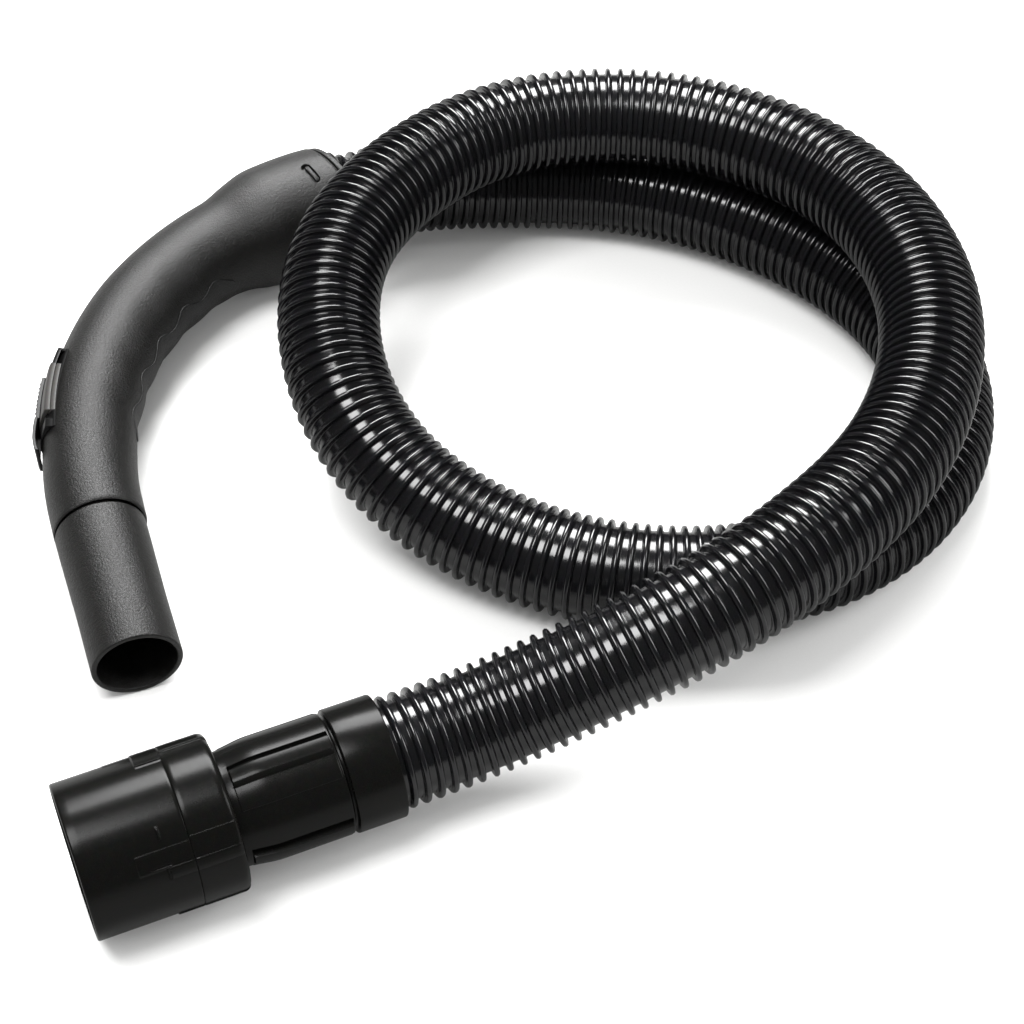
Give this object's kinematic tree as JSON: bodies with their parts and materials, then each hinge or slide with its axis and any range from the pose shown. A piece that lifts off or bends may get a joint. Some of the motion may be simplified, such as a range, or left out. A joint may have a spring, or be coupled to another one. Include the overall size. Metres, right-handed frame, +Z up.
{
  "type": "vacuum cleaner hose assembly",
  "caption": "Ribbed suction hose in a coil, with a bent grip handle ending in a wand spigot and a swivel connector for the machine.",
  "frame": {"origin": "on the floor under the middle of the handle and the machine connector, measured without the free hose", "axes": "+Z up from the floor; -X out of the connector's mouth, along its axis; +Y from the connector towards the handle's collar"},
  "size_m": [0.4228, 0.3473, 0.0846],
  "materials": {
    "grained_plastic": "fine grain, matte",
    "inner_plastic": "matte",
    "soft_grip": "soft matte",
    "satin_plastic": "satin",
    "slider_plastic": "satin",
    "hose_plastic": "glossy",
    "clip_plastic": "satin",
    "seal_rubber": "matte"
  },
  "bodies": {
    "hose_line": {"hose": "hose_plastic", "handle_cuff": "satin_plastic", "handle_bush": "inner_plastic", "machine_cuff": "satin_plastic", "machine_bush": "inner_plastic"},
    "handle": {"spigot": "grained_plastic", "bend_pipe": "inner_plastic", "grip_shell": "grained_plastic", "finger_insert": "soft_grip", "regulator_base": "satin_plastic", "collar_ring": "satin_plastic", "handle_seal": "seal_rubber"},
    "regulator": {"regulator_slider": "slider_plastic", "regulator_cover": "satin_plastic"},
    "connector": {"ribbed_sleeve": "satin_plastic", "swivel_clip": "clip_plastic", "swivel_seal": "seal_rubber", "coupling_body": "satin_plastic", "coupling_socket": "inner_plastic", "coupling_seal": "seal_rubber"}
  },
  "joints": [
    {"name": "handle_swivel", "type": "hinge", "parent": "hose_line", "child": "handle", "pos_m": [0.099, 0.147, 0.027], "axis": [1, 0, 0], "continuous": true},
    {"name": "regulator_slide", "type": "hinge", "parent": "handle", "child": "regulator", "pos_m": [0.089, 0.00713, 0.02089], "axis": [0, -0.0436, 0.999], "range_deg": [-3, 2]},
    {"name": "connector_swivel", "type": "hinge", "parent": "hose_line", "child": "connector", "pos_m": [-0.026, -0.145, 0.02875], "axis": [1, 0, 0], "continuous": true}
  ]
}
